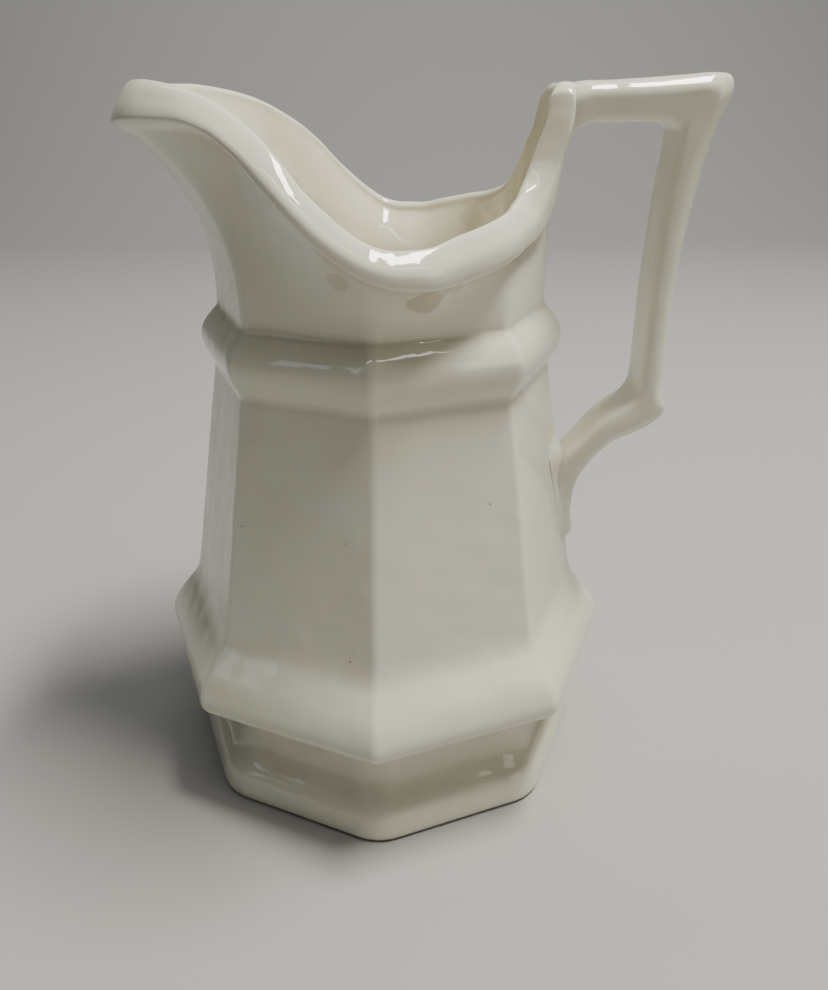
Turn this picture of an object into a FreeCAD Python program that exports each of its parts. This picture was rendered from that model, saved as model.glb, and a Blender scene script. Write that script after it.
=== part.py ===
import FreeCAD, Part
import math
import os

# Octagonal ironstone cream jug, in millimetres.
# +Z is up and z = 0 is the resting plane of the foot. The spout points to -X, the handle to +X.
# The body is a regular octagon with one corner under the spout and one under the handle.
# Everything about the body is given in polar form: the angle is 0 at the handle and 180 at the
# spout, and a "corner" is the distance from the axis to the octagon's corner before rounding.

V = FreeCAD.Vector
HALF_SIDE = math.radians(22.5)

# Rings of the outside, from the foot up: (height, corner, corner rounding).
FOOT_RINGS = [
    (0.0, 44.6, 10.0), (0.4, 45.7, 10.5), (1.4, 46.2, 11.0), (4.0, 45.8, 11.0), (5.8, 45.2, 11.0),
    (6.7, 44.5, 11.0), (7.8, 43.2, 10.5), (9.6, 41.8, 10.5), (12.8, 40.4, 10.0), (17.4, 39.8, 9.0),
    (21.0, 40.6, 7.0), (22.8, 43.0, 5.6), (23.4, 46.5, 4.4), (24.0, 49.0, 3.6), (25.2, 50.0, 3.0)]
SKIRT_RINGS = [
    (25.2, 50.0, 3.0), (27.0, 50.1, 2.8), (29.3, 49.5, 2.6), (32.0, 48.1, 2.5), (34.8, 45.9, 2.4),
    (37.2, 43.9, 2.3), (39.4, 42.8, 2.2), (42.0, 42.2, 2.2)]
PANEL_RINGS = [(42.0, 42.2, 2.2), (87.0, 34.5, 2.2)]
BAND_RINGS = [
    (87.0, 34.5, 2.2), (88.2, 35.2, 2.3), (90.2, 36.2, 2.4), (92.2, 36.7, 2.4), (94.2, 36.6, 2.4),
    (96.2, 35.6, 2.5), (97.8, 34.2, 2.7), (99.1, 32.9, 3.0)]

# Rings of the inside, from the base up.
FLOOR_Z = 10.0
BASE_UNDER_Z = 4.5
BASE_CORNER = 37.5
BASE_ROUNDING = 12.0
INNER_CORNER_RINGS = [(FLOOR_Z, BASE_CORNER, BASE_ROUNDING), (14.0, 36.0, 12.0)]
INNER_LOW_RINGS = [
    (14.0, 36.0, 12.0), (19.0, 35.9, 12.0), (23.0, 38.6, 12.0), (27.5, 43.4, 11.0),
    (31.0, 44.4, 11.0), (34.5, 42.4, 10.0), (38.0, 39.6, 10.0), (42.0, 38.0, 10.0)]
INNER_PANEL_RINGS = [(42.0, 38.0, 10.0), (86.0, 30.5, 10.0)]
INNER_BAND_RINGS = [(86.0, 30.5, 10.0), (90.0, 30.9, 10.0), (94.0, 30.7, 10.0), (99.1, 28.9, 10.0)]
FOOT_INSIDE = [
    (0.0, 41.2, 10.0), (0.5, 40.4, 10.0), (2.4, 38.6, 11.0), (BASE_UNDER_Z, BASE_CORNER, BASE_ROUNDING)]

# The mouth, by angle: how far out and how high the crest of the lip is, how high its lower
# edge is, and how far that edge stands out past the crest.
CREST_OUT = [
    (0, 33.2), (13, 32.2), (15, 30.6), (17, 29.5), (22, 28.8), (30, 28.9), (42, 30.4), (52, 31.9),
    (65, 33.5), (78, 36.2), (92, 36.9), (103, 37.0), (114, 36.0), (121, 35.0), (128, 34.9),
    (139, 37.0), (149, 39.7), (158, 41.6), (169, 42.9), (180, 43.4)]
CREST_UP = [
    (0, 138.5), (7.4, 138.4), (9, 137.9), (11.8, 136.7), (12.8, 134.4), (13.6, 132.6), (14.9, 129.0),
    (16.6, 125.6), (21, 122.3), (30, 119.9), (42, 118.5), (52, 117.6), (65, 116.1), (78, 114.7),
    (84, 114.7), (89, 115.4), (96, 118.0), (105, 122.9), (114, 128.4), (121, 131.5), (128, 133.9),
    (139, 137.1), (149, 138.6), (158, 139.2), (169, 139.1), (180, 138.9)]
EDGE_UP = [
    (0, 119.0), (12, 119.0), (16, 116.4), (23, 113.6), (39, 112.0), (50, 111.0), (61, 109.8),
    (74, 108.9), (82, 109.1), (90, 110.5), (95, 112.2), (101, 115.1), (107, 118.7), (116, 124.1),
    (123, 128.1), (130, 131.0), (138, 132.8), (150, 133.2), (165, 132.8), (180, 132.4)]
EDGE_OVER = [
    (0, 0.4), (14, 1.6), (22, 3.0), (50, 2.9), (80, 3.2), (95, 3.3), (130, 4.0), (150, 4.3), (169, 4.5),
    (180, 5.4)]
EDGE_DROP = [(0, 0.6), (100, 0.6), (140, 1.6), (180, 2.8)]
EDGE_TUCK = [(0, 0.5), (20, 1.2), (60, 1.8), (180, 2.4)]
# Where the rounding under the edge passes, as shares of the tuck and the drop.
UNDERCUT_OUT, UNDERCUT_DOWN = 0.3, 0.35
NECK_FLARE = [(0, 2.0), (90, 2.0), (150, 3.0), (180, 3.0)]
RISER_BACK = [(112.8, 32.3), (116.6, 32.7), (119.7, 33.4), (126.2, 34.1), (131.1, 35.4), (138.4, 36.2)]
LIP_INNER_DEPTH = 1.7
LIP_INNER_DROP = 2.0
# The lip's outer face, from its lower edge to the crest, as shares of how far the edge stands out
# and of the lip's height: a slanted band at the front that turns into a fuller curve at the spout.
LIP_BAND = [(0.98, 0.12), (1.0, 0.26), (0.97, 0.40), (0.86, 0.54), (0.63, 0.70), (0.37, 0.85), (0.15, 0.95)]
LIP_BAND_AT_SPOUT = [
    (1.0, 0.03), (0.97, 0.11), (0.90, 0.23), (0.79, 0.38), (0.62, 0.57), (0.40, 0.79), (0.18, 0.94)]
RISER_SHARES = [0.0, 0.25, 0.5, 0.7, 0.85, 0.95, 0.99]
RISER_SQUARENESS = 6.2
BAND_TOP_Z = 99.1
NECK_CORNER = 32.9
# How much of the corners is gone where the neck meets the lip, and how much more at the front.
NECK_FADE = 0.65
NECK_FRONT_FADE = 0.2
NECK_INNER_CORNER = 28.9
NECK_INNER_ROUNDING = 10.0
MOUTH_FLARE = 2.2

# Angles at which the wall is cut to shape: close together at the rounded corners and the riser.
SECTOR_ANGLES = [0.0, 1.4, 2.8, 4.5, 7.5, 12.0, 17.0, 22.5, 28.0, 33.0, 37.5, 40.5, 42.2, 43.6]
RISER_ANGLES = [9.3, 10.6, 13.0, 14.0, 15.0, 16.0, 19.0, 20.8]

# The handle, as pairs of points (x, z) across the strap: inner face, outer face, then half its
# width and how far towards the outer face its widest ridge lies.
HANDLE_STATIONS = [
    ((36.6, 131.2), (36.6, 138.6), 7.2, 0.75),
    ((38.4, 131.8), (38.6, 138.6), 7.05, 0.74),
    ((41.0, 131.8), (41.4, 138.6), 6.9, 0.74),
    ((48.6, 131.8), (49.4, 139.0), 6.8, 0.74),
    ((51.4, 131.7), (55.2, 139.4), 6.8, 0.74),
    ((52.8, 131.1), (59.4, 139.6), 6.8, 0.76),
    ((53.4, 130.5), (61.6, 139.3), 6.8, 0.73),
    ((53.6, 129.7), (62.4, 138.1), 6.8, 0.70),
    ((53.6, 128.6), (62.4, 136.2), 6.8, 0.64),
    ((53.4, 126.6), (60.8, 131.6), 6.8, 0.60),
    ((53.2, 124.0), (59.5, 126.4), 6.8, 0.58),
    ((52.8, 118.9), (58.4, 119.6), 6.8, 0.57),
    ((52.4, 109.4), (57.3, 109.6), 6.8, 0.57),
    ((52.2, 100.0), (56.8, 100.0), 6.7, 0.57),
    ((52.3, 90.0), (56.9, 89.6), 6.7, 0.57),
    ((52.4, 84.4), (57.3, 82.0), 6.7, 0.57),
    ((52.0, 81.6), (58.3, 77.5), 6.7, 0.58),
    ((50.6, 79.5), (55.4, 74.4), 6.6, 0.60),
    ((47.8, 77.6), (51.6, 72.3), 6.5, 0.60),
    ((45.0, 75.3), (48.4, 70.7), 6.3, 0.60),
    ((42.2, 72.0), (45.4, 67.4), 5.9, 0.60),
    ((38.6, 67.4), (43.2, 63.9), 5.5, 0.48),
    ((36.8, 61.0), (41.9, 60.4), 5.1, 0.16),
    ((37.2, 56.5), (41.4, 56.4), 4.9, 0.10),
    ((37.8, 53.0), (41.4, 53.2), 4.8, 0.10),
    ((38.3, 50.4), (42.0, 50.6), 4.8, 0.12),
    ((38.5, 49.0), (41.8, 49.0), 4.6, 0.12),
    ((38.7, 47.9), (41.0, 48.0), 4.2, 0.12)]
UPPER_LUTING_START = ((33.6, 129.0), (33.6, 138.5), 7.4, 0.80)
HANDLE_OUTER_WIDTH = 0.68
HANDLE_INNER_WIDTH = 0.95

LOWER_LUTING_STATIONS = [
    (71.6, 4.0, -0.9), (69.8, 6.2, 0.2), (67.0, 7.4, 0.6), (64.0, 7.1, 0.2), (60.0, 6.8, 0.0),
    (55.0, 6.6, 0.0), (50.5, 6.5, 0.0), (48.2, 5.8, -0.3), (46.8, 4.2, -1.0)]
LOWER_LUTING_DEPTH = 3.7
LOWER_LUTING_RIDGE = 0.08
LOWER_LUTING_OUTER_WIDTH = 0.5

# The clay rolls on the inside: their thickness at the middle and at the edges.
ROLL_HALF_ANGLE = 7.5
ROLL_THICKNESS = 0.9
ROLL_FEATHER = 0.3
BASE_ROLL_WIDTH = 4.0
JOINT_LINE = 0.03


def follow(points, at):
    """Value at one place of a smooth monotone curve through (place, value) points."""
    if at <= points[0][0]:
        return points[0][1]
    if at >= points[-1][0]:
        return points[-1][1]
    index = max(i for i in range(len(points) - 1) if points[i][0] <= at)
    slopes = [
        (points[i + 1][1] - points[i][1]) / (points[i + 1][0] - points[i][0])
        for i in range(len(points) - 1)]

    def tangent(i):
        if i == 0 or i == len(slopes):
            return 0.0 if i == 0 else slopes[-1]
        if slopes[i - 1] * slopes[i] <= 0.0:
            return 0.0
        return 2.0 * slopes[i - 1] * slopes[i] / (slopes[i - 1] + slopes[i])

    (x0, y0), (x1, y1) = points[index], points[index + 1]
    step = x1 - x0
    t = (at - x0) / step
    start = (1 + 2 * t) * (1 - t) ** 2 * y0 + t * (1 - t) ** 2 * step * tangent(index)
    end = t * t * (3 - 2 * t) * y1 + t * t * (t - 1) * step * tangent(index + 1)
    return start + end


def ease(low, high, value):
    """Ease from 0 at low to 1 at high."""
    t = min(1.0, max(0.0, (value - low) / (high - low)))
    return t * t * (3.0 - 2.0 * t)


def octagon(angle, corner, rounding):
    """Polar radius of an octagon with a corner at angle 0 and rounded corners."""
    turn = math.radians(abs((angle + 22.5) % 45.0 - 22.5))
    tangent = rounding * math.tan(HALF_SIDE)
    limit = math.atan2(tangent * math.cos(HALF_SIDE), corner - tangent * math.sin(HALF_SIDE))
    if turn < limit:
        centre = corner - rounding / math.cos(HALF_SIDE)
        return centre * math.cos(turn) + math.sqrt(rounding ** 2 - (centre * math.sin(turn)) ** 2)
    return corner * math.cos(HALF_SIDE) / math.cos(HALF_SIDE - turn)


def ring_profile(rings, angle):
    """(radius, height) points up a stack of octagon rings at one angle."""
    return [(octagon(angle, corner, rounding), height) for height, corner, rounding in rings]


def swept_angle(angle, rise):
    """Where the octagon's corners go as the neck rises: the side arrises sweep to the spout."""
    corner = 135.0 + 20.0 * rise * ease(0.0, 1.0, rise)
    if angle <= 90.0:
        return angle
    if angle <= corner:
        return 90.0 + 45.0 * (angle - 90.0) / (corner - 90.0)
    return 135.0 + 45.0 * (angle - corner) / (180.0 - corner)


def mouth_at(angle):
    """The lip's measures at one angle."""
    out = follow(CREST_OUT, angle)
    edge_up = follow(EDGE_UP, angle)
    riser = 1.0 - ease(12.0, 27.0, angle)
    edge_out = out + follow(EDGE_OVER, angle)
    edge_out = edge_out * (1.0 - riser) + follow(RISER_BACK, edge_up) * riser
    return {
        "out": out, "up": follow(CREST_UP, angle), "edge_out": edge_out, "edge_up": edge_up,
        "riser": riser, "drop": follow(EDGE_DROP, angle), "tuck": follow(EDGE_TUCK, angle)}


def neck_profile(angle):
    """Outside of the neck, from the top of the band to just under the lip's edge."""
    mouth = mouth_at(angle)
    top_out = mouth["edge_out"] - mouth["tuck"]
    top_up = mouth["edge_up"] - mouth["drop"]
    flare = follow(NECK_FLARE, angle)
    points = []
    for rise in (0.0, 0.12, 0.27, 0.43, 0.58, 0.71, 0.82, 0.91, 1.0):
        lift = rise ** flare
        smooth_out = NECK_CORNER * (1.0 - lift) + top_out * lift
        fade = NECK_FADE + NECK_FRONT_FADE * (ease(50.0, 70.0, angle) - ease(110.0, 130.0, angle))
        facet = octagon(swept_angle(angle, rise), NECK_CORNER, 3.0 + 4.5 * rise) / NECK_CORNER
        radius = smooth_out * (1.0 + (1.0 - rise * fade) * (facet - 1.0))
        points.append((radius, BAND_TOP_Z + (top_up - BAND_TOP_Z) * rise))
    return points


def lip_profile(angle):
    """Over the lip, from under its edge, up its face and over the crest to the inside."""
    mouth = mouth_at(angle)
    over, tall = mouth["edge_out"] - mouth["out"], mouth["up"] - mouth["edge_up"]
    spout = ease(100.0, 155.0, angle)
    points = [neck_profile(angle)[-1]]
    under_out = mouth["edge_out"] - UNDERCUT_OUT * mouth["tuck"]
    points.append((under_out, mouth["edge_up"] - UNDERCUT_DOWN * mouth["drop"]))
    for front, end, share in zip(LIP_BAND, LIP_BAND_AT_SPOUT, RISER_SHARES):
        band_out, band_up = (low * (1.0 - spout) + high * spout for low, high in zip(front, end))
        band = (mouth["out"] + over * band_out, mouth["edge_up"] + tall * band_up)
        height = mouth["edge_up"] + tall * share
        reach = (1.0 - share ** RISER_SQUARENESS) ** (1.0 / RISER_SQUARENESS)
        riser = (mouth["out"] + (follow(RISER_BACK, height) - mouth["out"]) * reach, height)
        points.append(tuple(
            low * (1.0 - mouth["riser"]) + high * mouth["riser"] for low, high in zip(band, riser)))
    for inwards, down in ((0.0, 0.0), (0.4, 0.1), (0.8, 0.4), (1.0, 1.0)):
        points.append((mouth["out"] - inwards * LIP_INNER_DEPTH, mouth["up"] - down * LIP_INNER_DROP))
    return points


def mouth_inside_profile(angle):
    """Inside of the neck and spout, from the lip down to the level of the band's top."""
    mouth = mouth_at(angle)
    top_out = mouth["out"] - LIP_INNER_DEPTH
    top_up = mouth["up"] - LIP_INNER_DROP
    low_out = octagon(angle, NECK_INNER_CORNER, NECK_INNER_ROUNDING)
    return [
        (low_out + (top_out - low_out) * rise ** MOUTH_FLARE, BAND_TOP_Z + (top_up - BAND_TOP_Z) * rise)
        for rise in (1.0, 0.92, 0.8, 0.65, 0.48, 0.3, 0.14, 0.0)]


def strips(angle):
    """The whole closed wall profile at one angle, as strips that meet at creases."""
    def down(rings):
        return list(reversed(ring_profile(rings, angle)))
    return [
        ring_profile(FOOT_RINGS, angle), ring_profile(SKIRT_RINGS, angle), ring_profile(PANEL_RINGS, angle),
        ring_profile(BAND_RINGS, angle), neck_profile(angle), lip_profile(angle),
        mouth_inside_profile(angle), down(INNER_BAND_RINGS), down(INNER_PANEL_RINGS),
        down(INNER_LOW_RINGS), down(INNER_CORNER_RINGS),
        [(octagon(angle, BASE_CORNER, BASE_ROUNDING), z) for z in (FLOOR_Z, BASE_UNDER_Z)],
        down(FOOT_INSIDE),
        [ring_profile(FOOT_INSIDE, angle)[0], ring_profile(FOOT_RINGS, angle)[0]]]


def wall_angles():
    """All the angles from the handle seam to the spout seam, in order."""
    angles = [sector * 45.0 + step for sector in range(4) for step in SECTOR_ANGLES]
    return sorted(angles + RISER_ANGLES + [180.0])


def curve_through(points, places):
    """A spline through the points with the given parameters."""
    curve = Part.BSplineCurve()
    curve.interpolate(Points=points, Parameters=places)
    return curve


def curve_round(row, angles):
    """A spline round part of the wall; a row from seam to seam meets its mirror image smoothly."""
    if angles[0] > 0.0 or angles[-1] < 180.0:
        return curve_through(row, angles)
    back = [V(point.x, -point.y, point.z) for point in reversed(row[1:-1])]
    back_angles = [360.0 - angle for angle in reversed(angles[1:-1])]
    curve = Part.BSplineCurve()
    curve.interpolate(Points=row + back, PeriodicFlag=True, Parameters=angles + back_angles + [360.0])
    curve.segment(0.0, 180.0)
    return curve


def strip_surface(rows, angles):
    """One smooth surface through a grid: rows of points, each row running round the wall."""
    lengthways = [curve_round(row, angles) for row in rows]
    middle = len(rows[0]) // 2
    places = [0.0]
    for below, above in zip(rows, rows[1:]):
        places.append(places[-1] + sum(above[i].distanceToPoint(below[i]) for i in (0, middle, -1)))
    columns = []
    for index in range(lengthways[0].NbPoles):
        column = [curve.getPole(index + 1) for curve in lengthways]
        columns.append(curve_through(column, places))
    surface = Part.BSplineSurface()
    surface.buildFromPolesMultsKnots(
        [column.getPoles() for column in columns],
        lengthways[0].getMultiplicities(), columns[0].getMultiplicities(),
        lengthways[0].getKnots(), columns[0].getKnots(),
        False, False, lengthways[0].Degree, columns[0].Degree)
    return surface


def strip_face(surface):
    """The strip's face, as a true plane where the strip is level."""
    heights = [pole.z for row in surface.getPoles() for pole in row]
    if max(heights) - min(heights) > 1e-6:
        return surface.toShape()
    u_low, u_high, v_low, v_high = surface.bounds()
    curves = [surface.vIso(v_low), surface.uIso(u_high), surface.vIso(v_high), surface.uIso(u_low)]
    return Part.Face(Part.Wire(Part.__sortEdges__([curve.toShape() for curve in curves])))


def polar_point(angle, radius, height):
    turn = math.radians(angle)
    return V(radius * math.cos(turn), radius * math.sin(turn), height)


def swept_solid(profile, angles):
    """Closed solid from a profile, a loop of strips given at each angle, with flat ends."""
    by_angle = [profile(angle) for angle in angles]
    surfaces = []
    for number, strip in enumerate(by_angle[0]):
        rows = [
            [polar_point(angle, *by_angle[i][number][level]) for i, angle in enumerate(angles)]
            for level in range(len(strip))]
        surfaces.append(strip_surface(rows, angles))
    faces = [strip_face(surface) for surface in surfaces]
    for end in (angles[0], angles[-1]):
        edges = [surface.uIso(end).toShape() for surface in surfaces]
        faces.append(Part.Face(Part.Wire(edges)))
    shell = Part.Shell(faces)
    shell.sewShape()
    return outward(Part.Solid(Part.Shell(shell.Faces)))


def outward(solid):
    """The solid with its faces turned outwards."""
    if solid.Volume < 0:
        solid.reverse()
    return solid


def mirrored(shape):
    return shape.mirror(V(0, 0, 0), V(0, 1, 0))


def both_sides(half):
    """One solid from a half and its mirror image across the seam plane."""
    return only_solid(half.fuse(mirrored(half)).removeSplitter())


def only_solid(shape):
    """The largest solid of a boolean's result."""
    return max(shape.Solids, key=lambda solid: solid.Volume)


def base():
    """Flat bat let in between the halves."""
    outline = []
    for side in range(8):
        for step in SECTOR_ANGLES:
            angle = side * 45.0 + step
            outline.append(polar_point(angle, octagon(angle, BASE_CORNER, BASE_ROUNDING) - JOINT_LINE, 0.0))
    wire = Part.makePolygon(outline + outline[:1])
    bat = Part.Face(wire).extrude(V(0, 0, FLOOR_Z - BASE_UNDER_Z))
    bat.translate(V(0, 0, BASE_UNDER_Z))
    return bat


def base_seam_roll():
    """Clay roll worked round the inside corner between the base and the walls."""
    def profile(angle):
        wall = ring_profile(INNER_CORNER_RINGS, angle)
        (foot, low), (top, high) = wall
        toe, tip = foot - BASE_ROLL_WIDTH, top - ROLL_FEATHER
        face = [
            (toe + (tip - toe) * share ** 0.6, low + (high - low) * share ** 1.7)
            for share in (1.0, 0.85, 0.6, 0.3, 0.0)]
        return [wall, [wall[1], face[0]], face, [face[-1], wall[0]]]
    return both_sides(swept_solid(profile, wall_angles()))


def seam_roll(centre_angle):
    """Clay roll worked down the inside of one seam, feathered at its edges."""
    def profile(angle):
        edge = abs(angle - centre_angle) / ROLL_HALF_ANGLE
        proud = ROLL_FEATHER + (ROLL_THICKNESS - ROLL_FEATHER) * (1.0 - ease(0.0, 1.0, edge))
        wall = [
            ring_profile(rings, angle) for rings in (INNER_LOW_RINGS, INNER_PANEL_RINGS, INNER_BAND_RINGS)]
        face = [[(radius - proud, height) for radius, height in reversed(strip)] for strip in reversed(wall)]
        return wall + [[wall[-1][-1], face[0][0]]] + face + [[face[-1][-1], wall[0][0]]]
    angles = [angle for angle in wall_angles() if abs(angle - centre_angle) <= ROLL_HALF_ANGLE]
    return both_sides(swept_solid(profile, angles))


def trimmed(shape, others):
    """The shape with everything that its neighbours fill cut away."""
    for other in others:
        shape = shape.cut(other)
    return only_solid(shape)


def strap_section(inner, outer, half_width, ridge, outer_width=HANDLE_OUTER_WIDTH):
    """Six-sided section of the strap between an inner and an outer point."""
    start, end = V(inner[0], 0, inner[1]), V(outer[0], 0, outer[1])
    crest = start + (end - start) * ridge
    corners = [
        (start, half_width * HANDLE_INNER_WIDTH), (crest, half_width), (end, half_width * outer_width)]
    near = [point + V(0, -width, 0) for point, width in corners]
    far = [point + V(0, width, 0) for point, width in reversed(corners)]
    return Part.makePolygon(near + far + near[:1])


def strap(stations):
    """Solid strap through a list of stations."""
    return outward(Part.makeLoft([strap_section(*station) for station in stations], True, True))


def handle(walls):
    return trimmed(strap(HANDLE_STATIONS), walls)


def upper_handle_luting(walls):
    """Slip that fills the joint between the riser and the top bar."""
    stations = [UPPER_LUTING_START, HANDLE_STATIONS[0]]
    return trimmed(strap(stations), walls)


def lower_handle_luting(walls):
    """Fillet of slip round the lower arm and tail where they lie on the rear arris."""
    stations = []
    for height, half_width, proud in LOWER_LUTING_STATIONS:
        arris = follow([(z, corner) for z, corner, _ in PANEL_RINGS], height)
        inner, outer = (arris - LOWER_LUTING_DEPTH, height), (arris + proud, height)
        stations.append((inner, outer, half_width, LOWER_LUTING_RIDGE, LOWER_LUTING_OUTER_WIDTH))
    return trimmed(strap(stations), [strap(HANDLE_STATIONS)] + walls)


def main():
    os.makedirs("parts", exist_ok=True)
    right = swept_solid(strips, wall_angles())
    left = mirrored(right)
    walls = [left, right]
    parts = {
        "left_wall": left,
        "right_wall": right,
        "base": base(),
        "base_seam_roll": base_seam_roll(),
        "spout_seam_roll": seam_roll(180.0),
        "handle_seam_roll": seam_roll(0.0),
        "handle": handle(walls),
        "upper_handle_luting": upper_handle_luting(walls),
        "lower_handle_luting": lower_handle_luting(walls),
    }
    for name, shape in parts.items():
        print(name, "valid" if shape.isValid() else "NOT VALID", len(shape.Solids), round(shape.Volume))
        shape.exportStep("parts/" + name + ".step")


main()
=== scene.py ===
import math

import bpy
import numpy as np
from mathutils import Matrix, Vector


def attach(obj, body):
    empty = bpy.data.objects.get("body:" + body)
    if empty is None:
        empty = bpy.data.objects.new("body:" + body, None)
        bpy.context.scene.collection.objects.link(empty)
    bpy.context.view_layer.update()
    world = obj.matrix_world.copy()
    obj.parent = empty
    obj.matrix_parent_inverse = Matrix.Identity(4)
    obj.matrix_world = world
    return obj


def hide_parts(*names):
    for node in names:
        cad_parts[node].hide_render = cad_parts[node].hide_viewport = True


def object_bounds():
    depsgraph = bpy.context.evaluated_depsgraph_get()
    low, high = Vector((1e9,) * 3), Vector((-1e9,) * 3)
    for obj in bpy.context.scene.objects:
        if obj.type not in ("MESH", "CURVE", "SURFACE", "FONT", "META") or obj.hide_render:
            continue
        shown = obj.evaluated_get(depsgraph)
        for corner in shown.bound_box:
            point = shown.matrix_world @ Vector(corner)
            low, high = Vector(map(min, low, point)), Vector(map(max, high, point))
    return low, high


# Octagonal ironstone cream jug. Design numbers are in millimetres in the frame of the part:
# +Z up from the foot's resting plane, spout to -X, handle to +X. Meshes are made in metres.
# Angles run from 0 at the handle to 180 degrees at the spout, and a "corner" is the distance
# from the axis to the octagon's corner before it is rounded.

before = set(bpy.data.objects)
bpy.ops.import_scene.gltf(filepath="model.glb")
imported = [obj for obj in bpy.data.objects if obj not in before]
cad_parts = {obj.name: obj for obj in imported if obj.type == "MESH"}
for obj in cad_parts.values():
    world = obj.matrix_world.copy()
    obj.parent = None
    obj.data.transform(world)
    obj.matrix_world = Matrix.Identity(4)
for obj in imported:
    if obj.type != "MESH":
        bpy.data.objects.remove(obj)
cad_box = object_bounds()

MM = 0.001
HALF_SIDE = math.radians(22.5)

# ------------------------------------------------------------------------------- design
# Rings of the outside, from the foot up: (height, corner, corner rounding).
FOOT_RINGS = [
    (0.0, 44.6, 10.0), (0.4, 45.7, 10.5), (1.4, 46.2, 11.0), (4.0, 45.8, 11.0), (5.8, 45.2, 11.0),
    (6.7, 44.5, 11.0), (7.8, 43.2, 10.5), (9.6, 41.8, 10.5), (12.8, 40.4, 10.0), (17.4, 39.8, 9.0),
    (21.0, 40.6, 7.0), (22.8, 43.0, 5.6), (23.4, 46.5, 4.4), (24.0, 49.0, 3.6), (25.2, 50.0, 3.0)]
SKIRT_RINGS = [
    (25.2, 50.0, 3.0), (27.0, 50.1, 2.8), (29.3, 49.5, 2.6), (32.0, 48.1, 2.5), (34.8, 45.9, 2.4),
    (37.2, 43.9, 2.3), (39.4, 42.8, 2.2), (42.0, 42.2, 2.2)]
PANEL_RINGS = [(42.0, 42.2, 2.2), (87.0, 34.5, 2.2)]
BAND_RINGS = [
    (87.0, 34.5, 2.2), (88.2, 35.2, 2.3), (90.2, 36.2, 2.4), (92.2, 36.7, 2.4), (94.2, 36.6, 2.4),
    (96.2, 35.6, 2.5), (97.8, 34.2, 2.7), (99.1, 32.9, 3.0)]

FLOOR_Z = 10.0
BASE_UNDER_Z = 4.5
BASE_CORNER = 37.5
BASE_ROUNDING = 12.0
INNER_LOW_RINGS = [
    (FLOOR_Z, BASE_CORNER, BASE_ROUNDING), (14.0, 36.0, 12.0), (19.0, 35.9, 12.0), (23.0, 38.6, 12.0),
    (27.5, 43.4, 11.0), (31.0, 44.4, 11.0), (34.5, 42.4, 10.0), (38.0, 39.6, 10.0), (42.0, 38.0, 10.0)]
INNER_PANEL_RINGS = [(42.0, 38.0, 10.0), (86.0, 30.5, 10.0)]
INNER_BAND_RINGS = [(86.0, 30.5, 10.0), (90.0, 30.9, 10.0), (94.0, 30.7, 10.0), (99.1, 28.9, 10.0)]
FOOT_INSIDE = [
    (0.0, 41.2, 10.0), (0.5, 40.4, 10.0), (2.4, 38.6, 11.0), (BASE_UNDER_Z, BASE_CORNER, BASE_ROUNDING)]
BASE_SEAT = [(FLOOR_Z, BASE_CORNER, BASE_ROUNDING), (BASE_UNDER_Z, BASE_CORNER, BASE_ROUNDING)]
RESTING_RING = [(0.0, 41.2, 10.0), (0.0, 44.6, 10.0)]

# The mouth, by angle: how far out and how high the crest of the lip is, how high its lower
# edge is, and how far that edge stands out past the crest.
CREST_OUT = [
    (0, 33.2), (13, 32.2), (15, 30.6), (17, 29.5), (22, 28.8), (30, 28.9), (42, 30.4), (52, 31.9),
    (65, 33.5), (78, 36.2), (92, 36.9), (103, 37.0), (114, 36.0), (121, 35.0), (128, 34.9),
    (139, 37.0), (149, 39.7), (158, 41.6), (169, 42.9), (180, 43.4)]
CREST_UP = [
    (0, 138.5), (7.4, 138.4), (9, 137.9), (11.8, 136.7), (12.8, 134.4), (13.6, 132.6), (14.9, 129.0),
    (16.6, 125.6), (21, 122.3), (30, 119.9), (42, 118.5), (52, 117.6), (65, 116.1), (78, 114.7),
    (84, 114.7), (89, 115.4), (96, 118.0), (105, 122.9), (114, 128.4), (121, 131.5), (128, 133.9),
    (139, 137.1), (149, 138.6), (158, 139.2), (169, 139.1), (180, 138.9)]
EDGE_UP = [
    (0, 119.0), (12, 119.0), (16, 116.4), (23, 113.6), (39, 112.0), (50, 111.0), (61, 109.8),
    (74, 108.9), (82, 109.1), (90, 110.5), (95, 112.2), (101, 115.1), (107, 118.7), (116, 124.1),
    (123, 128.1), (130, 131.0), (138, 132.8), (150, 133.2), (165, 132.8), (180, 132.4)]
EDGE_OVER = [
    (0, 0.4), (14, 1.6), (22, 3.0), (50, 2.9), (80, 3.2), (95, 3.3), (130, 4.0), (150, 4.3),
    (169, 4.5), (180, 5.4)]
EDGE_DROP = [(0, 0.6), (100, 0.6), (140, 1.6), (180, 2.8)]
EDGE_TUCK = [(0, 0.5), (20, 1.2), (60, 1.8), (180, 2.4)]
NECK_FLARE = [(0, 2.0), (90, 2.0), (150, 3.0), (180, 3.0)]
RISER_BACK = [(112.8, 32.3), (116.6, 32.7), (119.7, 33.4), (126.2, 34.1), (131.1, 35.4), (138.4, 36.2)]
RISER_ENDS = (12.0, 27.0)
LIP_INNER_DEPTH = 1.7
LIP_INNER_DROP = 2.0
LIP_INNER_SHARES = [(0.0, 0.0), (0.4, 0.1), (0.8, 0.4), (1.0, 1.0)]
UNDERCUT_OUT = 0.3
UNDERCUT_DOWN = 0.35
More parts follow.
